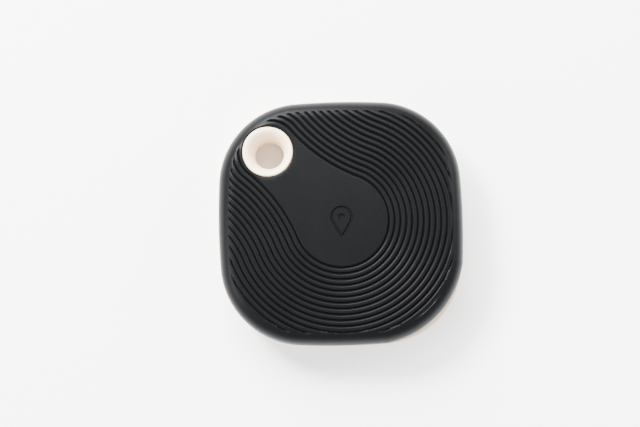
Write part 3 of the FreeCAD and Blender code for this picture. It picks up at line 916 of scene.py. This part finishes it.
def underside(xy, inset):
    """Height of the skin's inner face, at an inset from the tag's full outline."""
    into_round = np.clip(skin_depth + inner_round - inset, 0, inner_round)
    return dome(xy) - skin_depth - inner_round + np.sqrt(inner_round**2 - into_round**2)


for share in (0, 0.3, 0.55, 0.75, 0.9, 1):
    depth = inner_inset + (rim_inset - skin_depth) * share
    xy = rim_points - rim_outs * depth[:, None]
    if share == 0:
        row = next_row(row, xy, skin_low)
    row = next_row(row, xy, underside(xy, depth + set_back))

under = Sheet(gap=0.05 * mm)
under_rim = under.loop(xy, hole=False)
under_press = under.loop(circle((0, 0), press_outer, press_count))
under_hole = under.loop(circle(eyelet, eyelet_hole, eyelet_count))
coarse = square_grid(-16, 17, 2.0)
coarse = coarse[inset_at(coarse) > 2.6 * mm]
under.add(clear_of_loops(coarse, gap=0.6 * mm))
under_xy = np.array([tuple(p) for p in under.points])
below = add_row(under_xy, underside(under_xy, inset_at(under_xy)))
faces += [tuple(below[i] for i in reversed(face)) for face in under.triangles()]
faces += band([below[i] for i in under_rim], row)
faces += band(press_loop, [below[i] for i in under_press])

# The hole's edge: rounded at the top, then straight down
row = hole_loop
top_edge = top[list(hole_loop)]
edge_height = front(top_edge)
for angle in quarter_round:
    xy = circle(eyelet, eyelet_hole + hole_round * (1 - math.sin(angle)), eyelet_count)
    new = add_row(xy, edge_height - hole_round * (1 - math.cos(angle)))
    faces += band(row, new)
    row = new
faces += band(row, [below[i] for i in under_hole])

skin = mesh_piece("soft_skin", np.concatenate(points), faces)

black = Finish("soft_black_skin", (0.0020, 0.0021, 0.0023), 0.4, IOR=1.155)
handled = black.noise(5 * mm, 4.0)
black.set("Base Color", black.mix(handled, (0.0017, 0.0018, 0.0020), (0.0023, 0.0024, 0.0026)))
black.set("Roughness", handled * 0.08 + black.noise(0.5 * mm, 3.0) * 0.05 + 0.26)
black.bump(black.noise(0.06 * mm, 3.0), 0.003 * mm)
black.on(skin)
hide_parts("front_skin")
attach(skin, "front")


# ---- Pressed middle
# The same soft skin over the switch, thin enough to give under a finger. A ring of it lies between the
# fixed skin and the middle and stays where it is. The middle goes down with the switch and has a map pin
# sunk in its face.

plunger_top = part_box("button_plunger")[1].z
ring_steps = 12


def crown_at(radius):
    """Height of the front at a distance from its middle."""
    return crown - radius**2 / (2 * crown_radius)


ring_radii = np.linspace(press_outer, press_inner, ring_steps + 1)
ring_under = crown_at(press_outer) - skin_depth
ring_profile = [(r, crown_at(r)) for r in ring_radii]
ring_profile += [(press_inner, ring_under), (press_outer, ring_under)]
press_ring = turned("press_ring", ring_profile, press_count)
black.on(press_ring)
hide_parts("button_membrane")
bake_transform(press_ring)

pin_centre = ribs_middle + np.array((0.0, 0.5)) * mm
pin_radius, pin_tip = 1.5 * mm, 2.95 * mm  # of the head, and how far below its centre the point is
pin_line, pin_dot, pin_depth, pin_wall = 0.36 * mm, 0.50 * mm, 0.20 * mm, 0.08 * mm
flank = math.acos(pin_radius / pin_tip)  # the head's arc ends this far from straight down
shoulder = np.array((math.sin(flank), -math.cos(flank))) * pin_radius
tip = np.array((0.0, -pin_tip))


def to_pin(xy):
    """How far each point lies from the pin's outline, below 0 inside it."""
    p = xy - pin_centre
    side = np.stack([np.abs(p[:, 0]), p[:, 1]], 1)
    edge = tip - shoulder
    share = np.clip((side - shoulder) @ edge / (edge @ edge), 0, 1)
    to_flank = np.hypot(*(side - shoulder - share[:, None] * edge).T)
    by_head = np.arctan2(side[:, 1], side[:, 0]) > math.atan2(shoulder[1], shoulder[0])
    to_head = np.hypot(*p.T) - pin_radius
    past = (side - shoulder) @ np.array((-edge[1], edge[0]))
    return np.where(by_head, to_head, np.where(past > 0, to_flank, -to_flank))


def to_mark(xy):
    """How far each point lies outside the sunk line or the sunk dot, below 0 inside them."""
    line = np.abs(to_pin(xy)) - pin_line / 2
    dot = np.hypot(*(xy - pin_centre).T) - pin_dot
    return np.minimum(line, dot)


# Points close together along the walls of the sunk lines, and a coarse grid over the rest
face_sheet = Sheet(gap=0.025 * mm)
face_loop = face_sheet.loop(circle((0, 0), press_inner, press_count), hole=False)
fine = square_grid(-2.6, 2.6, 0.02)
wall = to_mark(fine)
for level in (0.0, -pin_wall, pin_wall / 2, -pin_wall * 1.6):
    face_sheet.add(fine[np.abs(wall - level) < 0.0075 * mm])
coarse = square_grid(-2.85, 2.86, 0.19)
inside_rim = np.hypot(*coarse.T) < press_inner - 0.2 * mm
face_sheet.add(coarse[inside_rim & (np.abs(to_mark(coarse)) > 0.12 * mm)])
face_xy = np.array([tuple(p) for p in face_sheet.points])
sunk = smooth(-to_mark(face_xy) / pin_wall) * pin_depth
middle_points = np.column_stack([face_xy, dome(face_xy) - sunk])
face_count = len(middle_points)
lower_rim = circle((0, 0), press_inner, press_count)
lower_rim = np.column_stack([lower_rim, np.full(press_count, plunger_top)])
middle_points = np.concatenate([middle_points, lower_rim, [(0, 0, plunger_top)]])
hub = face_count + press_count
lower_loop = range(face_count, hub)
middle_faces = face_sheet.triangles()
middle_faces += band(lower_loop, face_loop)
middle_faces += [(lower_loop[(i + 1) % press_count], lower_loop[i], hub) for i in range(press_count)]
press_middle = mesh_piece("press_middle", middle_points, middle_faces)
black.on(press_middle)
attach(press_middle, "button")
